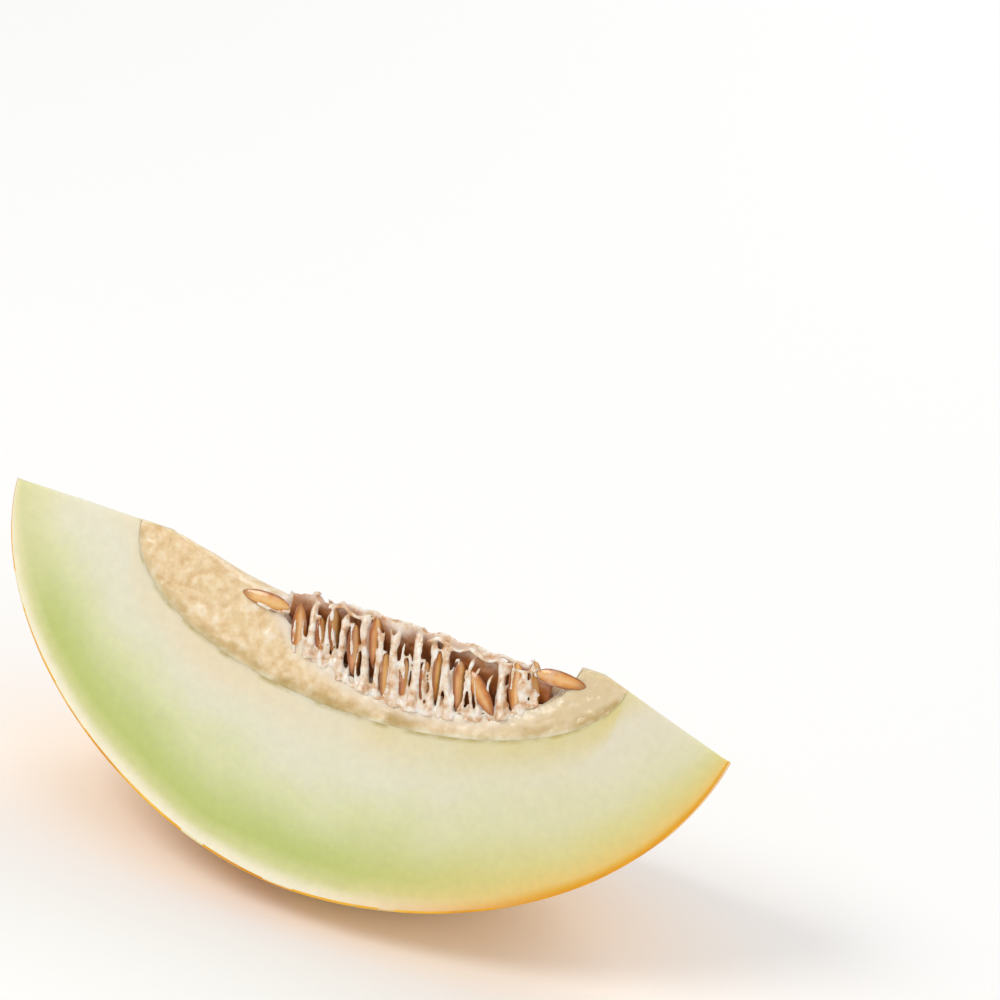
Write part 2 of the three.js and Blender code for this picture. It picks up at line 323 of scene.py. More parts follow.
# %% Read each seed's place from the CAD
def seed_place(node):
    """A seed's middle, its half sizes, and its axes across, out and up, up being the blunt end."""
    points = np.array([tuple(vertex.co) for vertex in node.data.vertices])
    points = np.unique(points.round(7), axis=0)
    axes = np.linalg.svd(points - points.mean(axis=0), full_matrices=False)[2]
    local = points @ axes.T
    low, high = local.min(axis=0), local.max(axis=0)
    middle = (low + high) / 2
    local -= middle
    ends = [np.abs(local[local[:, 0] * way > (high[0] - low[0]) / 4, 1]).mean() for way in (1, -1)]
    up = Vector(axes[0]) * (1 if ends[0] > ends[1] else -1)
    out = Vector(axes[1])
    centre = Vector(middle @ axes)
    if out.y * centre.y < 0:
        out = -out
    return {
        "centre": centre,
        "half": [size / 2 for size in (high - low)],
        "up": up,
        "out": out,
        "across": out.cross(up).normalized(),
        "side": -1 if centre.y < 0 else 1,
    }


seed_nodes = sorted(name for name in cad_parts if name[:5] == "seed_" and name[5:].isdigit())
seeds = {name: seed_place(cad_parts[name]) for name in seed_nodes}
first = seeds[seed_nodes[0]]
print(len(seeds), "seeds, half sizes in mm", [round(size / MM, 2) for size in first["half"]])

# %% Build the seeds
SEED_RINGS = 26
SEED_SPOKES = 36
MARGIN_RISE = 0.16 * MM


def seed_outline(t):
    """Half the width at t along the seed, as a share of its greatest, from the point to the blunt end."""
    return (1 - abs(2 * t - 1) ** 2.2) ** 0.56 * (0.74 + 0.34 * t)


def seed_mesh(name, place, bend):
    half_length, half_width, half_thick = place["half"]
    points, faces, margin, up_seed = [], [], [], []
    for i in range(SEED_RINGS + 1):
        t = (1 - math.cos(math.pi * i / SEED_RINGS)) / 2
        width = half_width * seed_outline(t)
        thick = half_thick * min(1.0, 1.15 * seed_outline(t))
        for k in range(SEED_SPOKES):
            angle = 2 * math.pi * k / SEED_SPOKES
            wide = math.cos(angle)
            belly = math.sin(angle) * (1 - 0.3 * wide**4)
            rise = MARGIN_RISE * math.exp(-(((abs(wide) - 0.86) / 0.09) ** 2)) * seed_outline(t)
            offset = thick * belly + math.copysign(rise, belly)
            offset += bend * (2 * t - 1) ** 2 * half_thick
            point = place["centre"] + place["up"] * half_length * (2 * t - 1)
            point = point + place["out"] * width * wide + place["across"] * offset
            points.append(point)
            margin.append(abs(wide))
            up_seed.append(t)
    for i in range(SEED_RINGS):
        for k in range(SEED_SPOKES):
            a, b = i * SEED_SPOKES + k, i * SEED_SPOKES + (k + 1) % SEED_SPOKES
            faces.append((a, b, b + SEED_SPOKES, a + SEED_SPOKES))
    mesh = bpy.data.meshes.new(name)
    mesh.from_pydata(points, [], faces)
    piece = bpy.data.objects.new(name, mesh)
    bpy.context.scene.collection.objects.link(piece)
    store(piece, "margin", margin)
    store(piece, "up_seed", up_seed)
    bm = bmesh.new()
    bm.from_mesh(mesh)
    tidy_mesh(bm)
    bm.to_mesh(mesh)
    bm.free()
    store(piece, "tone", [rng.random()] * len(mesh.vertices))
    smooth_all(piece)
    return piece


seed_pieces = {}
for name, place in seeds.items():
    seed_pieces[name] = seed_mesh(name + "_coat", place, rng.uniform(-0.25, 0.25))
print("seeds", sum(len(piece.data.polygons) for piece in seed_pieces.values()), "faces")

# %% [markdown]
# ## The seed pulp
# The pulp is soft, wet and grainy. Its bed fills the flesh's pocket and ends at the hollow's floor.
# It is lofted like the flesh, and then broken up with noise: grains of one to four millimetres on
# the cuts, and a ragged, fibrous floor where strands tore off. Left of the hollow its ridge is worn
# down, on a slope that is rounded over from cut to cut.

# %% Loft the bed of pulp
PULP_STATIONS = 210
PULP_GRAIN = 0.3 * MM
FLOOR_RAGGED = 0.8 * MM


def wear_depth(x):
    """How far the pulp's ridge is worn down, left of the hollow."""
    along = min(x, HOLLOW_FROM + WEAR_PAST_HOLLOW) - (HOLLOW_FROM - WEAR_LENGTH)
    ripple = 1 + 0.12 * wobble(Vector((x, 0, 0)), 5 * MM, 7.7)
    return max(0.0, along) * math.tan(WEAR_SLOPE) * ripple


def pulp_loops():
    loops = []
    top_steps = 26
    for i in range(PULP_STATIONS + 1):
        x = pulp_low[0] + (pulp_high[0] - pulp_low[0]) * (1 - math.cos(math.pi * i / PULP_STATIONS)) / 2
        outer = max(pulp_radius(x) + PULP_OVERLAP, 0.05 * MM)
        worn = wear_depth(x) if x < HOLLOW_FROM + WEAR_PAST_HOLLOW + WEAR_FADE else 0.0
        crown = min(1.5 * MM, 0.3 * worn)
        hollow = hollow_radius(x)
        edge = min(max(hollow, (worn + crown) / math.cos(HALF_ANGLE)), outer * 0.98)
        loop = section(x, edge, outer, 40, 40, top_steps)
        # A worn ridge is rounded over, and the hollow's floor follows a circle.
        rounded = min(1.0, max(0.0, (edge - hollow) / (2 * MM)))
        for k in range(1, top_steps):
            point = loop[k - top_steps]
            across = min(1.0, abs(point.y) / max(edge * math.sin(HALF_ANGLE), 1e-6))
            over = RIDGE_Z - edge * math.cos(HALF_ANGLE) + crown * (1 - across**2)
            point.z += (over - point.z) * rounded
        loops.append(loop)
    return loops


bed = loft("seed_pulp_bed", pulp_loops())
slice_off(bed, trim_point, trim_normal)


def roughen_bed(piece):
    for vertex in piece.data.vertices:
        point = vertex.co.copy()
        radius = axis_distance(point)
        out = out_of(-1 if point.y < 0 else 1)
        inward = Vector((0, -point.y, RIDGE_Z - point.z)).normalized()
        angle = abs(math.atan2(point.y, RIDGE_Z - point.z))
        on_cut = min(1.0, max(0.0, (angle / HALF_ANGLE - 0.9) * 10))
        floor = hollow_radius(point.x)
        near_floor = math.exp(-max(0.0, radius - floor) / (1.6 * MM)) if floor > 3 * MM else 0.0
        at_border = math.exp(-max(0.0, pulp_radius(point.x) - radius) / (1.2 * MM))
        grain = wobble(point, 1.7 * MM, 2.2) + 0.8 * wobble(point, 4.2 * MM, 5.1)
        sunk = (PULP_GRAIN * grain - 0.18 * MM) * (1 - at_border) - 0.02 * MM
        vertex.co += out * on_cut * (sunk + knife_wave(point))
        vertex.co -= out * on_cut * near_floor * 0.9 * MM
        ragged = wobble(Vector((point.x * 1.6, point.y, point.z)), 2.3 * MM, 9.4)
        vertex.co += inward * near_floor * FLOOR_RAGGED * (ragged + 0.3)


roughen_bed(bed)


def measure_bed(piece):
    from_floor, from_border, lengthways = [], [], []
    for vertex in piece.data.vertices:
        point = vertex.co
        radius = axis_distance(point)
        floor = hollow_radius(point.x)
        beyond = max(HOLLOW_FROM - point.x, point.x - HOLLOW_TO, 0.0)
        from_floor.append((radius - floor + beyond) / MM)
        from_border.append((pulp_radius(point.x) - radius) / MM)
        lengthways.append((point.x - MIDDLE_X) / MELON_LENGTH + 0.5)
    store(piece, "from_floor_mm", from_floor)
    store(piece, "from_border_mm", from_border)
    store(piece, "lengthways", lengthways)


measure_bed(bed)
smooth_all(bed)
print("pulp bed", len(bed.data.polygons), "faces")

# %% [markdown]
# ## Strands between the seeds
# Every seed hangs in its own sac of pulp. A cut leaves the walls of these sacs as wet strands
# that stand between the seeds, and thin films that loop round them. Each strand is a bent tube,
# wide at its root. All tubes are joined and remeshed into one skin, which melts them together as
# the real pulp is, and no tube shows as a tube.

# %% Tubes for the strands
SEED_LEAN = math.radians(18)
STRAND_VOXEL = 0.3 * MM
strand_mesh = bmesh.new()


def slot_point(side, mark, radius, depth):
    """A point in the plane of a row of seeds, at a distance from the ridge and below the cut."""
    down = radius * math.cos(HALF_ANGLE) + depth * math.sin(HALF_ANGLE)
    x = mark + math.tan(SEED_LEAN) * down
    y = side * (radius * math.sin(HALF_ANGLE) - depth * math.cos(HALF_ANGLE))
    return Vector((x, y, RIDGE_Z - down))


def slot_mark(point):
    return point.x - math.tan(SEED_LEAN) * (RIDGE_Z - point.z)


def tube(path, wide, thick, out, spokes=10):
    """A closed tube along a path. wide and thick are its half sizes at each point, thick along out."""
    rings = []
    for i, point in enumerate(path):
        ahead = path[min(i + 1, len(path) - 1)] - path[max(i - 1, 0)]
        across = ahead.cross(out).normalized()
        deep = across.cross(ahead).normalized()
        ring = []
        for k in range(spokes):
            angle = 2 * math.pi * k / spokes
            offset = across * wide[i] * math.cos(angle) + deep * thick[i] * math.sin(angle)
            ring.append(strand_mesh.verts.new(point + offset))
        rings.append(ring)
    for lower, upper in zip(rings, rings[1:]):
        for k in range(spokes):
            nxt = (k + 1) % spokes
            strand_mesh.faces.new((lower[k], lower[nxt], upper[nxt], upper[k]))
    strand_mesh.faces.new(tuple(reversed(rings[0])))
    strand_mesh.faces.new(tuple(rings[-1]))


def upright_strand(side, mark, foot, top, size, lean_over):
    """A strand from the floor to near the ridge, whose top bends over along X."""
    steps = 16
    path, wide, thick = [], [], []
    phase = rng.uniform(0, 6)
    for i in range(steps + 1):
        t = i / steps
        radius = foot + (top - foot) * t
        sway = 0.35 * MM * math.sin(phase + 5 * t) + lean_over * max(0.0, t - 0.7) ** 2 * 11
        depth = (1.3 + 0.5 * math.sin(phase * 2 + 4 * t)) * MM + 0.8 * MM * t**4
        path.append(slot_point(side, mark + sway, radius, depth))
        root = 1 + 0.9 * (1 - t) ** 4
        knob = 1 + 0.25 * math.exp(-(((t - 0.9) / 0.12) ** 2))
        lumps = 1 + 0.22 * math.sin(phase + 11 * t) * math.sin(3 * phase + 17 * t)
        end = math.sqrt(max(0.05, 1 - max(0.0, (t - 0.85) / 0.15) ** 2))
        wide.append(size * root * knob * lumps * end)
        thick.append(size * 1.25 * root * end)
    tube(path, wide, thick, out_of(side))


def film_loop(place, start, stop, size):
    """A thin film that hugs a seed's outline near the cut, from one angle round to another."""
    steps = 22
    half_length, half_width, half_thick = place["half"]
    path, wide, thick = [], [], []
    phase = rng.uniform(0, 6)
    for i in range(steps + 1):
        angle = start + (stop - start) * i / steps
        across = (half_thick + 0.42 * MM) * math.sin(angle)
        along = (half_length + 0.35 * MM) * math.cos(angle)
        near = half_width * 0.62 * math.sqrt(max(0.0, 1 - math.cos(angle) ** 4)) + 0.2 * MM
        point = place["centre"] + place["across"] * across + place["up"] * along
        path.append(point + place["out"] * (near + 0.15 * MM * math.sin(phase + 4 * angle)))
        swell = 1 + 0.35 * math.sin(phase + 7 * angle)
        wide.append(size * swell)
        thick.append(size * 1.8 * swell)
    tube(path, wide, thick, place["out"])


# %% Place the strands and films
marks = {-1: [], 1: []}
for place in seeds.values():
    lying = abs(place["up"].x) > 0.75
    deep_inside = out_of(place["side"]).dot(Vector((0, 0, RIDGE_Z)) - place["centre"]) > 5 * MM
    if not lying and not deep_inside:
        marks[place["side"]].append(slot_mark(place["centre"]))


def floor_at(mark):
    return hollow_radius(mark + math.tan(SEED_LEAN) * HOLLOW_RADIUS * math.cos(HALF_ANGLE))


def stand_between(side):
    """Broad strands in the slots of the other cut's seeds, and thin ones in the other gaps."""
    own = sorted(marks[side])
    for mark in sorted(marks[-side]):
        floor = floor_at(mark)
        if floor > 9 * MM:
            bend = rng.choice((-1, 1)) * rng.uniform(0.5, 1.8) * MM
            top = rng.uniform(3.5, 7.0) * MM
            upright_strand(side, mark, floor + 1.5 * MM, top, rng.uniform(0.75, 1.0) * MM, bend)
    for left, right in zip(own, own[1:]):
        middle = (left + right) / 2 + rng.uniform(-0.2, 0.2) * MM
        floor = floor_at(middle)
        if floor > 9 * MM and min(abs(middle - mark) for mark in marks[-side]) > 1 * MM:
            bend = rng.choice((-1, 1)) * rng.uniform(0.4, 1.4) * MM
            top = floor - rng.uniform(0.6, 0.97) * (floor - 4 * MM)
            upright_strand(side, middle, floor + 1.5 * MM, top, rng.uniform(0.4, 0.6) * MM, bend)
        for across in (0.22, 0.78):
            beside = left + (right - left) * across + rng.uniform(-0.15, 0.15) * MM
            if floor_at(beside) > 9 * MM:
                top = floor_at(beside) - rng.uniform(0.5, 0.95) * (floor_at(beside) - 4 * MM)
                thin = rng.uniform(0.24, 0.38) * MM
                upright_strand(
                    side, beside, floor_at(beside) + 1.5 * MM, top, thin, rng.uniform(-1.2, 1.2) * MM
                )


def fringe(side):
    """Short ragged fibres along the floor of the hollow, at a cut."""
    x = min(marks[side]) - 1 * MM
    while x < max(marks[side]) + 2 * MM:
        floor = floor_at(x)
        if floor > 6 * MM:
            height = rng.uniform(1.0, 4.2) * MM
            bend = rng.uniform(-0.7, 0.7) * MM
            upright_strand(side, x, floor + 1.5 * MM, floor - height, rng.uniform(0.25, 0.5) * MM, bend)
        x += rng.uniform(0.7, 1.5) * MM


def top_film(side, start, stop):
    """A film that runs from top to top, sagging between them."""
    steps = 60
    path, wide, thick = [], [], []
    for i in range(steps + 1):
        mark = start + (stop - start) * i / steps
        sag = 1.3 * MM * abs(math.sin(mark / (2.6 * MM))) + 0.8 * MM * wobble(Vector((mark, 0, 0)), 4 * MM)
        swell = 1 + 0.5 * wobble(Vector((mark, 1, 0)), 2 * MM, 5.5)
        path.append(slot_point(side, mark, 4.6 * MM + sag, 1.6 * MM))
        wide.append(0.42 * MM * swell)
        thick.append(0.7 * MM * swell)
    tube(path, wide, thick, out_of(side))


for side in (-1, 1):
    stand_between(side)
    fringe(side)
first_mark, last_mark = min(marks[-1]), max(marks[-1])
top_film(-1, first_mark + 0.55 * (last_mark - first_mark), last_mark + 1 * MM)
top_film(-1, first_mark + 0.12 * (last_mark - first_mark), first_mark + 0.3 * (last_mark - first_mark))
top_film(1, first_mark + 0.2 * (last_mark - first_mark), last_mark)
for place in seeds.values():
    turn = rng.choice((-1, 1))
    film_loop(place, turn * rng.uniform(1.4, 3.0), -turn * rng.uniform(0.1, 1.2), 0.24 * MM)

# %% The core of pulp behind the seeds
# The core lies deep behind the cuts, so its brown is the painted shade of the strand material.
def core_web():
    """A lumpy wall along the middle of the hollow, which the two rows of seeds back onto."""
    steps = 60
    for level in range(4):
        path, wide, thick = [], [], []
        for i in range(steps + 1):
            t = i / steps
            x = HOLLOW_FROM + 6 * MM + (HOLLOW_TO - HOLLOW_FROM - 12 * MM) * t
            floor = hollow_radius(x)
            crest = (8.0 + 1.6 * wobble(Vector((x, 0, 0)), 2.6 * MM, 1.9)) * MM
            below = max(floor - (floor - crest) * (0.14 + 0.28 * level), crest)
            sway = 0.8 * MM * wobble(Vector((x, level * MM, 0)), 5 * MM, 4.4)
            path.append(Vector((x, sway, RIDGE_Z - below)))
            wide.append(max(0.5 * MM, (2.0 - 0.45 * level) * MM))
            thick.append(max(0.8 * MM, 0.17 * floor))
        tube(path, wide, thick, Vector((0, 0, 1)))


core_web()
strand_data = bpy.data.meshes.new("pulp_strands")
bmesh.ops.recalc_face_normals(strand_mesh, faces=strand_mesh.faces)
strand_mesh.to_mesh(strand_data)
strand_mesh.free()
strand_data.transform(Matrix.Scale(1 / MM, 4))  # in millimetres
loose_tubes = bpy.data.objects.new("loose_tubes", strand_data)
bpy.context.scene.collection.objects.link(loose_tubes)
remesh = loose_tubes.modifiers.new("melt together", "REMESH")
remesh.mode = "VOXEL"
remesh.voxel_size = STRAND_VOXEL / MM
relax = loose_tubes.modifiers.new("relax", "SMOOTH")
relax.factor = 0.6
relax.iterations = 3
melted = bpy.data.meshes.new_from_object(loose_tubes.evaluated_get(bpy.context.evaluated_depsgraph_get()))
melted.transform(Matrix.Scale(MM, 4))
bpy.data.objects.remove(loose_tubes)
strands = bpy.data.objects.new("pulp_strands", melted)
bpy.context.scene.collection.objects.link(strands)


def ripple_strands(piece):
    """Moves every point a little along its normal. All moves are found before any is made."""
    moves = [v.normal * 0.1 * MM * wobble(v.co, 1.1 * MM, 6.6) for v in piece.data.vertices]
    for vertex, move in zip(piece.data.vertices, moves):
        vertex.co += move


ripple_strands(strands)
smooth_all(strands)


def behind_cut(point):
    """How far a point is behind the nearer cut, in millimetres."""
    return out_of(-1 if point.y < 0 else 1).dot(Vector((0, 0, RIDGE_Z)) - point) / MM


store(strands, "behind_cut_mm", [behind_cut(v.co) for v in strands.data.vertices])
print("strands", len(strands.data.polygons), "faces")

# %% [markdown]
# ## Materials
# Each finish is a small network of nodes. One function adds a node, sets its values and joins its
# inputs. Colours are written as the sRGB hex values that a colour picker shows, and turned into the
# linear values that the renderer works with.


# %% Helpers for materials
def linear(hex_colour):
    channels = [int(hex_colour[i : i + 2], 16) / 255 for i in (1, 3, 5)]
    channels = [c / 12.92 if c <= 0.04045 else ((c + 0.055) / 1.055) ** 2.4 for c in channels]
    return (*channels, 1.0)


def add(tree, kind, inputs=None, stops=None, **settings):
    """Adds a node. inputs are values or the sockets to join, and stops are a ramp's colours."""
    node = tree.nodes.new(kind)
    for name, value in settings.items():
        setattr(node, name, value)
    for name, value in (inputs or {}).items():
        if isinstance(value, bpy.types.NodeSocket):
            tree.links.new(value, node.inputs[name])
        else:
            node.inputs[name].default_value = value
    if stops:
        ramp = node.color_ramp
        while len(ramp.elements) < len(stops):
            ramp.elements.new(1.0)
        for element, (position, colour) in zip(ramp.elements, stops):
            element.position = position
            element.color = linear(colour)
    return node


def set_inputs(node, values):
    for name, value in values.items():
        node.inputs[name].default_value = value


def new_material(name):
    """A material with a Principled shader: the material, its nodes, the shader, and object coordinates."""
    material = bpy.data.materials.new(name)
    material.use_nodes = True
    tree = material.node_tree
    shader = tree.nodes["Principled BSDF"]
    coordinates = add(tree, "ShaderNodeTexCoord").outputs["Object"]
    return material, tree, shader, coordinates


# %% [markdown]
# ### Cut melon flesh
# The flesh is mostly water held in thin-walled cells. Light goes in and comes out a few millimetres
# away, so it looks soft and lit from inside, and the knife leaves a wet film on it. Its colour runs
# in zones: a yellow line under the skin, a green band, and then pale cream towards the seeds. The
# green is strong at the left end and in the middle, and fades to warm yellow at the right end.

# %% Flesh material
ZONES_ACROSS_MM = 40
GREEN_ZONES = [
    (0.0, "#dcb650"),
    (0.35, "#ecdda6"),
    (0.9, "#f5efd8"),
    (2.2, "#f0e9cc"),
    (4.5, "#d6d698"),
    (8.5, "#c0ca78"),
    (13.0, "#c6ce86"),
    (21.0, "#dadcab"),
    (31.0, "#e3e1c6"),
    (40.0, "#e6e2cc"),
]
WARM_ZONES = [
    (0.0, "#da920c"),
    (1.1, "#e2a31e"),
    (2.1, "#e4b548"),
    (3.6, "#e7c877"),
    (7.5, "#e0cf86"),
    (12.0, "#ddd494"),
    (20.0, "#dedab0"),
    (30.0, "#e2dcbe"),
    (40.0, "#e3dcc4"),
]


def cut_flesh():
    material, tree, shader, coordinates = new_material("Cut melon flesh, wet")
    under_skin = add(tree, "ShaderNodeAttribute", attribute_name="under_skin_mm").outputs["Fac"]
    from_pulp = add(tree, "ShaderNodeAttribute", attribute_name="from_pulp_mm").outputs["Fac"]
    lengthways = add(tree, "ShaderNodeAttribute", attribute_name="lengthways").outputs["Fac"]

    # The zones drift by a few millimetres, more the deeper they lie.
    drift = add(tree, "ShaderNodeTexNoise", {"Vector": coordinates, "Scale": 55.0, "Detail": 2.0})
    centred = add(tree, "ShaderNodeMath", {0: drift.outputs["Fac"], 1: 0.5}, operation="SUBTRACT")
    deeper = add(tree, "ShaderNodeMath", {0: under_skin, 1: 0.6}, operation="MULTIPLY")
    moved = add(
        tree,
        "ShaderNodeMath",
        {0: centred.outputs[0], 1: deeper.outputs[0], 2: under_skin},
        operation="MULTIPLY_ADD",
    )
    share = add(tree, "ShaderNodeMath", {0: moved.outputs[0], 1: ZONES_ACROSS_MM}, operation="DIVIDE")
    share.use_clamp = True
    green = add(
        tree,
        "ShaderNodeValToRGB",
        {"Fac": share.outputs[0]},
        stops=[(mm / ZONES_ACROSS_MM, colour) for mm, colour in GREEN_ZONES],
    )
    warm = add(
        tree,
        "ShaderNodeValToRGB",
        {"Fac": share.outputs[0]},
        stops=[(mm / ZONES_ACROSS_MM, colour) for mm, colour in WARM_ZONES],
    )
    rightwards = add(
        tree,
        "ShaderNodeMapRange",
        {"Value": lengthways, "From Min": 0.48, "From Max": 0.86},
        interpolation_type="SMOOTHSTEP",
    )
    zones = add(
        tree,
        "ShaderNodeMix",
        {"Factor": rightwards.outputs[0], "A": green.outputs["Color"], "B": warm.outputs["Color"]},
        data_type="RGBA",
    )

    # The green fades out in the last centimetre or two of the pointed left end.
    at_tip = add(
        tree,
        "ShaderNodeMapRange",
        {"Value": lengthways, "From Min": 0.12, "From Max": 0.01, "To Max": 0.6},
        interpolation_type="SMOOTHSTEP",
    )
    tipped = add(
        tree,
        "ShaderNodeMix",
        {"Factor": at_tip.outputs[0], "A": zones.outputs["Result"], "B": linear("#ebe3bd")},
        data_type="RGBA",
    )

    # The flesh turns to warm cream near the pulp, in clouds.
    near_pulp = add(
        tree,
        "ShaderNodeMapRange",
        {"Value": from_pulp, "From Min": 13.0, "From Max": 1.0, "To Max": 1.0},
        interpolation_type="SMOOTHSTEP",
    )
    clouded = add(
        tree,
        "ShaderNodeMapRange",
        {"Value": drift.outputs["Fac"], "From Min": 0.3, "From Max": 0.7, "To Min": 0.35, "To Max": 0.95},
    )
    warmth = add(
        tree, "ShaderNodeMath", {0: near_pulp.outputs[0], 1: clouded.outputs[0]}, operation="MULTIPLY"
    )
    yellower = add(tree, "ShaderNodeMapRange", {"Value": lengthways, "From Min": 0.48, "From Max": 0.68})
    cream = add(
        tree,
        "ShaderNodeMix",
        {"Factor": yellower.outputs[0], "A": linear("#ead9b6"), "B": linear("#dccb80")},
        data_type="RGBA",
    )
    creamy = add(
        tree,
        "ShaderNodeMix",
        {"Factor": warmth.outputs[0], "A": tipped.outputs["Result"], "B": cream.outputs["Result"]},
        data_type="RGBA",
    )

    # A broken olive line where the flesh meets the pulp.
    breaks = add(tree, "ShaderNodeTexNoise", {"Vector": coordinates, "Scale": 260.0, "Detail": 3.0})
    line = add(
        tree,
        "ShaderNodeMapRange",
        {"Value": from_pulp, "From Min": 1.5, "From Max": 0.1, "To Max": 1.0},
        interpolation_type="SMOOTHSTEP",
    )
    broken = add(
        tree,
        "ShaderNodeMapRange",
        {"Value": breaks.outputs["Fac"], "From Min": 0.38, "From Max": 0.62, "To Max": 0.8},
    )
    line_strength = add(
        tree, "ShaderNodeMath", {0: line.outputs[0], 1: broken.outputs[0]}, operation="MULTIPLY"
    )
    bordered = add(
        tree,
        "ShaderNodeMix",
        {"Factor": line_strength.outputs[0], "A": creamy.outputs["Result"], "B": linear("#b9a35a")},
        data_type="RGBA",
    )

    # Fine pale and dark specks, where the knife opened the cells.
    opened = add(tree, "ShaderNodeTexNoise", {"Vector": coordinates, "Scale": 520.0, "Detail": 4.0})
    mottle = add(
        tree,
        "ShaderNodeMapRange",
        {"Value": opened.outputs["Fac"], "From Min": 0.3, "From Max": 0.7, "To Min": 0.965, "To Max": 1.02},
    )
    shaded = add(
        tree,
        "ShaderNodeMix",
        {"Factor": 1.0, "A": bordered.outputs["Result"], "B": mottle.outputs[0]},
        data_type="RGBA",
        blend_type="MULTIPLY",
    )
    film = add(tree, "ShaderNodeTexNoise", {"Vector": coordinates, "Scale": 140.0, "Detail": 3.0})
    wetness = add(
        tree,
        "ShaderNodeMapRange",
        {"Value": film.outputs["Fac"], "From Min": 0.35, "From Max": 0.65, "To Min": 0.3, "To Max": 0.5},
    )
    cells = add(tree, "ShaderNodeTexNoise", {"Vector": coordinates, "Scale": 1500.0, "Detail": 2.0})
    bump = add(
        tree, "ShaderNodeBump", {"Height": cells.outputs["Fac"], "Strength": 0.12, "Distance": 0.0003}
    )
    tree.links.new(shaded.outputs["Result"], shader.inputs["Base Color"])
    tree.links.new(wetness.outputs[0], shader.inputs["Roughness"])
    tree.links.new(bump.outputs["Normal"], shader.inputs["Normal"])
    set_inputs(
        shader,
        {
            "IOR": 1.35,
            "Subsurface Weight": 0.35,
            "Subsurface Radius": (1.0, 0.85, 0.55),
            "Subsurface Scale": 3 * MM,
            "Coat Weight": 0.25,
            "Coat Roughness": 0.2,
        },
    )
    return material


# %% [markdown]
# ### Canary melon skin
# The skin is thin, hard and waxy, a deep yellow that turns orange in its furrows, with faint pale
# freckles. Wax gives it a soft, satin shine.


# %% Skin material
def melon_skin():
    material, tree, shader, coordinates = new_material("Canary melon skin, waxy")
    stretch = add(tree, "ShaderNodeMapping", {"Vector": coordinates, "Scale": (0.25, 1.0, 1.0)})
    furrows = add(
        tree, "ShaderNodeTexNoise", {"Vector": stretch.outputs[0], "Scale": 150.0, "Detail": 4.0}
    )
    clouds = add(tree, "ShaderNodeTexNoise", {"Vector": coordinates, "Scale": 38.0, "Detail": 3.0})
    both = add(
        tree,
        "ShaderNodeMath",
        {0: furrows.outputs["Fac"], 1: clouds.outputs["Fac"]},
        operation="ADD",
    )
    share = add(tree, "ShaderNodeMapRange", {"Value": both.outputs[0], "From Min": 0.75, "From Max": 1.25})
    colour = add(
        tree,
        "ShaderNodeValToRGB",
        {"Fac": share.outputs[0]},
        stops=[(0.0, "#dd9208"), (0.35, "#e8a30c"), (0.65, "#efae14"), (1.0, "#f5c034")],
    )
    freckles = add(tree, "ShaderNodeTexVoronoi", {"Vector": coordinates, "Scale": 420.0})
    freckle = add(
        tree,
        "ShaderNodeMapRange",
        {"Value": freckles.outputs["Distance"], "From Min": 0.16, "From Max": 0.05, "To Max": 0.35},
    )
    freckled = add(
        tree,
        "ShaderNodeMix",
        {"Factor": freckle.outputs[0], "A": colour.outputs["Color"], "B": linear("#f6dc86")},
        data_type="RGBA",
    )
    fine = add(tree, "ShaderNodeTexNoise", {"Vector": stretch.outputs[0], "Scale": 700.0, "Detail": 3.0})
    bump = add(
        tree, "ShaderNodeBump", {"Height": fine.outputs["Fac"], "Strength": 0.25, "Distance": 0.0004}
    )
    tree.links.new(freckled.outputs["Result"], shader.inputs["Base Color"])
    tree.links.new(bump.outputs["Normal"], shader.inputs["Normal"])
    set_inputs(
        shader,
        {
            "Roughness": 0.38,
            "IOR": 1.44,
            "Coat Weight": 0.3,
            "Coat Roughness": 0.25,
        },
    )
    return material


# %% [markdown]
# ### Seed pulp
# Pulp is grainy, wet and peach to cream. Next to the flesh it darkens to a broken olive-brown line,
# and towards the hollow it turns into a whitish, fibrous shelf.


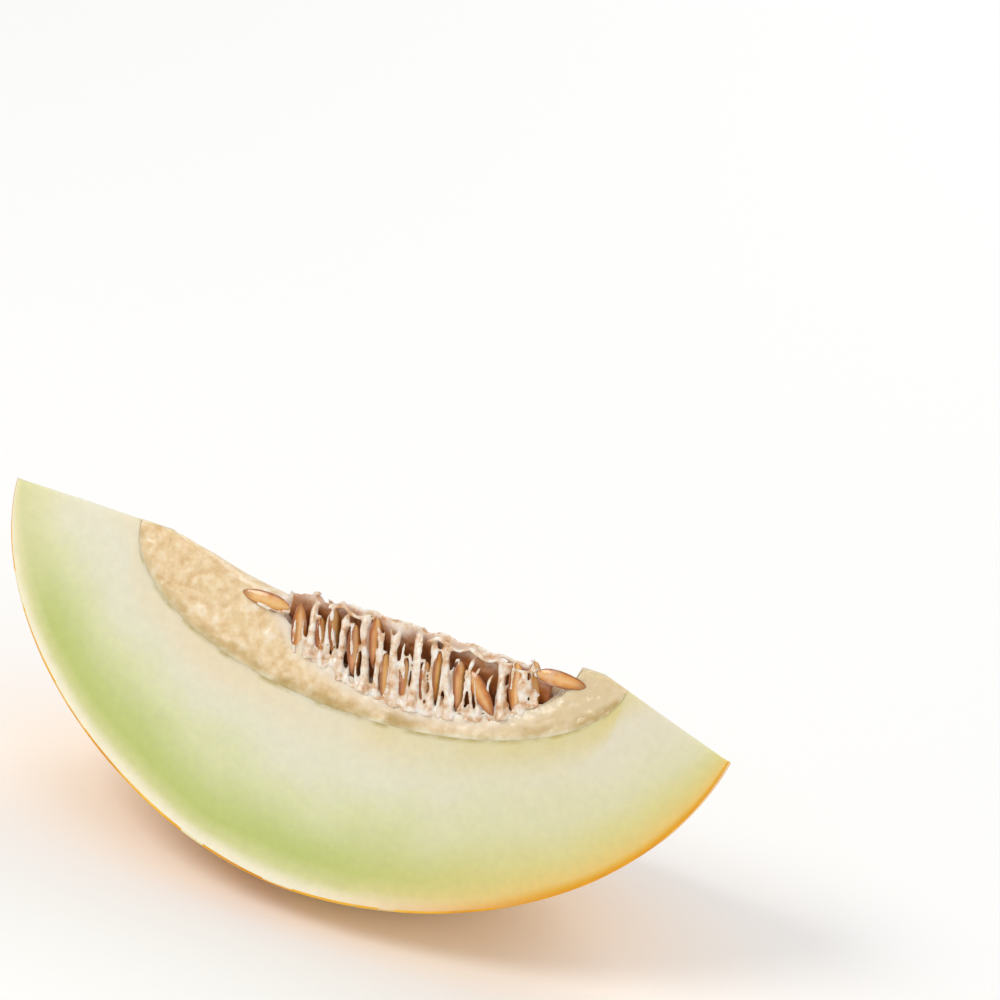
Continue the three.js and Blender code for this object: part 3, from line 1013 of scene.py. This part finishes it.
# %% Pulp material
def bed_pulp():
    material, tree, shader, coordinates = new_material("Melon seed pulp, wet")
    from_border = add(tree, "ShaderNodeAttribute", attribute_name="from_border_mm").outputs["Fac"]
    from_floor = add(tree, "ShaderNodeAttribute", attribute_name="from_floor_mm").outputs["Fac"]
    lengthways = add(tree, "ShaderNodeAttribute", attribute_name="lengthways").outputs["Fac"]
    grains = add(tree, "ShaderNodeTexNoise", {"Vector": coordinates, "Scale": 430.0, "Detail": 5.0})
    grainy = add(
        tree,
        "ShaderNodeValToRGB",
        {"Fac": grains.outputs["Fac"]},
        stops=[(0.3, "#dab886"), (0.43, "#e5c99b"), (0.55, "#edd4aa"), (0.7, "#f4e4c9")],
    )
    shelf = add(
        tree,
        "ShaderNodeMapRange",
        {"Value": from_floor, "From Min": 6.0, "From Max": 0.5, "To Max": 0.8},
        interpolation_type="SMOOTHSTEP",
    )
    whitened = add(
        tree,
        "ShaderNodeMix",
        {"Factor": shelf.outputs[0], "A": grainy.outputs["Color"], "B": linear("#efe3d2")},
        data_type="RGBA",
    )
    rightwards = add(
        tree, "ShaderNodeMapRange", {"Value": lengthways, "From Min": 0.66, "From Max": 0.8, "To Max": 0.85}
    )
    warmed = add(
        tree,
        "ShaderNodeMix",
        {"Factor": rightwards.outputs[0], "A": whitened.outputs["Result"], "B": linear("#dcc9a2")},
        data_type="RGBA",
    )
    # The border fades into the flesh's cream, and olive blotches gather along it.
    specks = add(tree, "ShaderNodeTexNoise", {"Vector": coordinates, "Scale": 210.0, "Detail": 6.0})
    wander = add(
        tree, "ShaderNodeMath", {0: specks.outputs["Fac"], 1: 3.0, 2: from_border}, operation="MULTIPLY_ADD"
    )
    to_cream = add(
        tree,
        "ShaderNodeMapRange",
        {"Value": wander.outputs[0], "From Min": 3.2, "From Max": 1.4, "To Max": 0.9},
        interpolation_type="SMOOTHSTEP",
    )
    outside = add(
        tree,
        "ShaderNodeMix",
        {"Factor": to_cream.outputs[0], "A": warmed.outputs["Result"], "B": linear("#e6dcbc")},
        data_type="RGBA",
    )
    band = add(
        tree,
        "ShaderNodeMapRange",
        {"Value": wander.outputs[0], "From Min": 6.0, "From Max": 2.6},
        interpolation_type="SMOOTHSTEP",
    )
    patches = add(tree, "ShaderNodeTexNoise", {"Vector": coordinates, "Scale": 120.0, "Detail": 6.0})
    broken = add(
        tree,
        "ShaderNodeMapRange",
        {"Value": patches.outputs["Fac"], "From Min": 0.38, "From Max": 0.6, "To Max": 0.9},
    )
    middle = add(
        tree, "ShaderNodeMapRange", {"Value": lengthways, "From Min": 0.26, "From Max": 0.4, "To Min": 0.55}
    )
    strength = add(
        tree, "ShaderNodeMath", {0: band.outputs[0], 1: broken.outputs[0]}, operation="MULTIPLY"
    )
    strength = add(
        tree, "ShaderNodeMath", {0: strength.outputs[0], 1: middle.outputs[0]}, operation="MULTIPLY"
    )
    bordered = add(
        tree,
        "ShaderNodeMix",
        {"Factor": strength.outputs[0], "A": outside.outputs["Result"], "B": linear("#b99a58")},
        data_type="RGBA",
    )
    bump = add(
        tree, "ShaderNodeBump", {"Height": grains.outputs["Fac"], "Strength": 0.6, "Distance": 0.0008}
    )
    tree.links.new(bordered.outputs["Result"], shader.inputs["Base Color"])
    tree.links.new(bump.outputs["Normal"], shader.inputs["Normal"])
    set_inputs(
        shader,
        {
            "Roughness": 0.3,
            "IOR": 1.35,
            "Subsurface Weight": 0.35,
            "Subsurface Radius": (1.0, 0.7, 0.45),
            "Subsurface Scale": 2 * MM,
            "Coat Weight": 0.4,
            "Coat Roughness": 0.12,
        },
    )
    return material


# %% Strand material
def strand_pulp():
    material, tree, shader, coordinates = new_material("Melon pulp strands, wet")
    behind = add(tree, "ShaderNodeAttribute", attribute_name="behind_cut_mm").outputs["Fac"]
    blotches = add(tree, "ShaderNodeTexNoise", {"Vector": coordinates, "Scale": 420.0, "Detail": 4.0})
    tinted = add(
        tree,
        "ShaderNodeValToRGB",
        {"Fac": blotches.outputs["Fac"]},
        stops=[(0.32, "#c99466"), (0.43, "#e1c3a2"), (0.54, "#eedfcd"), (0.68, "#f7f0e6")],
    )
    # Painted shade: the strands darken to brown the further they lie behind the cut, as the depth of the
    # hollow would. The core wall behind the seeds gets the same dark brown.
    ragged = add(
        tree, "ShaderNodeMath", {0: blotches.outputs["Fac"], 1: 2.4, 2: behind}, operation="MULTIPLY_ADD"
    )
    deep = add(
        tree,
        "ShaderNodeMapRange",
        {"Value": ragged.outputs[0], "From Min": 2.7, "From Max": 5.2},
        interpolation_type="SMOOTHSTEP",
    )
    depth_shaded = add(
        tree,
        "ShaderNodeMix",
        {"Factor": deep.outputs[0], "A": tinted.outputs["Color"], "B": linear("#b06c38")},
        data_type="RGBA",
    )
    bump = add(
        tree, "ShaderNodeBump", {"Height": blotches.outputs["Fac"], "Strength": 0.3, "Distance": 0.0004}
    )
    tree.links.new(depth_shaded.outputs["Result"], shader.inputs["Base Color"])
    tree.links.new(bump.outputs["Normal"], shader.inputs["Normal"])
    set_inputs(
        shader,
        {
            "Roughness": 0.22,
            "IOR": 1.35,
            "Subsurface Weight": 0.4,
            "Subsurface Radius": (1.0, 0.6, 0.4),
            "Subsurface Scale": 1 * MM,
            "Coat Weight": 0.6,
            "Coat Roughness": 0.08,
        },
    )
    return material


# %% [markdown]
# ### Seed coat
# The coat is smooth and leathery, tan-orange and streaked lengthwise. Its colour carries painted shade,
# darker towards the margin and the pointed end, and a painted highlight, paler across the middle.
# A film of juice makes it glossy, and shreds of pale sac cling to it.


# %% Seed material
def seed_coat():
    material, tree, shader, coordinates = new_material("Melon seed coat, wet")
    margin = add(tree, "ShaderNodeAttribute", attribute_name="margin").outputs["Fac"]
    tone = add(tree, "ShaderNodeAttribute", attribute_name="tone").outputs["Fac"]
    streaks = add(tree, "ShaderNodeTexNoise", {"Vector": coordinates, "Scale": 330.0, "Detail": 4.0})
    mixed = add(tree, "ShaderNodeMath", {0: tone, 1: 0.45, 2: 0.0}, operation="MULTIPLY_ADD")
    mixed = add(
        tree,
        "ShaderNodeMath",
        {0: streaks.outputs["Fac"], 1: 0.9, 2: mixed.outputs[0]},
        operation="MULTIPLY_ADD",
    )
    coat = add(
        tree,
        "ShaderNodeValToRGB",
        {"Fac": mixed.outputs[0]},
        stops=[(0.3, "#b06020"), (0.48, "#cb792c"), (0.68, "#dc953e"), (0.95, "#e8b46a")],
    )
    # Painted highlight: the middle of each seed, across its width, is mixed towards pale tan.
    belly = add(
        tree,
        "ShaderNodeMapRange",
        {"Value": margin, "From Min": 0.6, "From Max": 0.05, "To Max": 0.6},
        interpolation_type="SMOOTHSTEP",
    )
    highlighted_middle = add(
        tree,
        "ShaderNodeMix",
        {"Factor": belly.outputs[0], "A": coat.outputs["Color"], "B": linear("#f0c88c")},
        data_type="RGBA",
    )
    # Painted shade: the coat darkens towards its edges, and towards its pointed end, which lies deepest in
    # the hollow.
    rim = add(
        tree,
        "ShaderNodeMapRange",
        {"Value": margin, "From Min": 0.55, "From Max": 0.95, "To Max": 0.85},
        interpolation_type="SMOOTHSTEP",
    )
    up_seed = add(tree, "ShaderNodeAttribute", attribute_name="up_seed").outputs["Fac"]
    pointed_end_shade = add(
        tree,
        "ShaderNodeMapRange",
        {"Value": up_seed, "From Min": 0.3, "From Max": 0.0, "To Max": 0.7},
        interpolation_type="SMOOTHSTEP",
    )
    painted_shade_mask = add(
        tree, "ShaderNodeMath", {0: rim.outputs[0], 1: pointed_end_shade.outputs[0]}, operation="MAXIMUM"
    )
    edge_shaded = add(
        tree,
        "ShaderNodeMix",
        {"Factor": painted_shade_mask.outputs[0], "A": highlighted_middle.outputs["Result"], "B": linear("#8f4a1a")},
        data_type="RGBA",
    )
    shreds = add(tree, "ShaderNodeTexNoise", {"Vector": coordinates, "Scale": 200.0, "Detail": 3.0})
    clinging = add(
        tree,
        "ShaderNodeMapRange",
        {"Value": shreds.outputs["Fac"], "From Min": 0.58, "From Max": 0.68, "To Max": 0.45},
    )
    covered = add(
        tree,
        "ShaderNodeMix",
        {"Factor": clinging.outputs[0], "A": edge_shaded.outputs["Result"], "B": linear("#e4c4a8")},
        data_type="RGBA",
    )
    bump = add(
        tree, "ShaderNodeBump", {"Height": streaks.outputs["Fac"], "Strength": 0.2, "Distance": 0.0003}
    )
    tree.links.new(covered.outputs["Result"], shader.inputs["Base Color"])
    tree.links.new(bump.outputs["Normal"], shader.inputs["Normal"])
    set_inputs(
        shader,
        {
            "Roughness": 0.28,
            "IOR": 1.45,
            "Subsurface Weight": 0.15,
            "Subsurface Radius": (1.0, 0.5, 0.2),
            "Subsurface Scale": 1 * MM,
            "Coat Weight": 0.7,
            "Coat Roughness": 0.1,
        },
    )
    return material


# %% Dress the pieces
flesh.data.materials.append(cut_flesh())
flesh.data.materials.append(melon_skin())
mark_skin(flesh, 0, 1)
bed.data.materials.append(bed_pulp())
strands.data.materials.append(strand_pulp())
coat_material = seed_coat()
for piece in seed_pieces.values():
    piece.data.materials.append(coat_material)

# %% Tell the frame what each piece stands for
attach(flesh, "root")
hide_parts("flesh_and_rind")
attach(bed, "root")
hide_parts("seed_pulp")
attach(strands, "root")
for name, piece in seed_pieces.items():
    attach(piece, "root")
    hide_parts(name)

# %% [markdown]
# ## Studio
# A pale floor, a soft light from above on the left, a weaker one from the right and one from
# behind, and an even white surrounding, as for fruit laid on white paper.

# %% Floor, lights and surroundings
floor_mesh = bpy.data.meshes.new("floor")
REACH = 6.0
floor_mesh.from_pydata(
    [(-REACH, -REACH, 0), (REACH, -REACH, 0), (REACH, REACH, 0), (-REACH, REACH, 0)], [], [(0, 1, 2, 3)]
)
floor = bpy.data.objects.new("floor", floor_mesh)
bpy.context.scene.collection.objects.link(floor)
floor_material, _, floor_shader, _ = new_material("Matte white paper")
floor_shader.inputs["Base Color"].default_value = linear("#fbfbfa")
floor_shader.inputs["Roughness"].default_value = 0.9
floor_mesh.materials.append(floor_material)


def soft_light(name, place, target, size, watts, colour):
    lamp = bpy.data.lights.new(name, "AREA")
    lamp.shape = "DISK"
    lamp.size = size
    lamp.energy = watts
    lamp.color = linear(colour)[:3]
    holder = bpy.data.objects.new(name, lamp)
    holder.location = place
    holder.rotation_euler = (Vector(target) - Vector(place)).to_track_quat("-Z", "Y").to_euler()
    bpy.context.scene.collection.objects.link(holder)


AIM_POINT = (0, 0, 0.05)
soft_light("key", (-0.55, -0.55, 0.95), AIM_POINT, 0.5, 4.8, "#fffaf2")
soft_light("fill", (0.9, -0.6, 0.6), AIM_POINT, 0.7, 1.8, "#fffdfa")
soft_light("back", (0.2, 0.9, 0.8), AIM_POINT, 0.7, 3.0, "#ffffff")
world = bpy.data.worlds.new("white room")
world.use_nodes = True
world.node_tree.nodes["Background"].inputs["Color"].default_value = linear("#f7f8fa")
world.node_tree.nodes["Background"].inputs["Strength"].default_value = 0.68
bpy.context.scene.world = world
bpy.context.scene.view_settings.view_transform = "Standard"

# %% [markdown]
# ## Camera
# The camera looks down on the front cut from a little to the right, and is rolled so that the ridge
# falls towards the right.

# %% Camera
AZIMUTH = math.radians(14)
ELEVATION = math.radians(29.5)
ROLL = math.radians(11.26)
DISTANCE = 1.2
AIM = Vector((25.9, 0, 110.3)) * MM
backwards = Vector(
    (
        math.sin(AZIMUTH) * math.cos(ELEVATION),
        -math.cos(AZIMUTH) * math.cos(ELEVATION),
        math.sin(ELEVATION),
    )
)
lens = bpy.data.cameras.new("camera")
lens.angle = math.radians(11.24)
lens.clip_start = 0.05
camera = bpy.data.objects.new("camera", lens)
facing = backwards.to_track_quat("Z", "Y").to_matrix()
camera.matrix_world = (
    Matrix.Translation(AIM + backwards * DISTANCE) @ (facing @ Matrix.Rotation(ROLL, 3, "Z")).to_4x4()
)
bpy.context.scene.collection.objects.link(camera)
bpy.context.scene.camera = camera
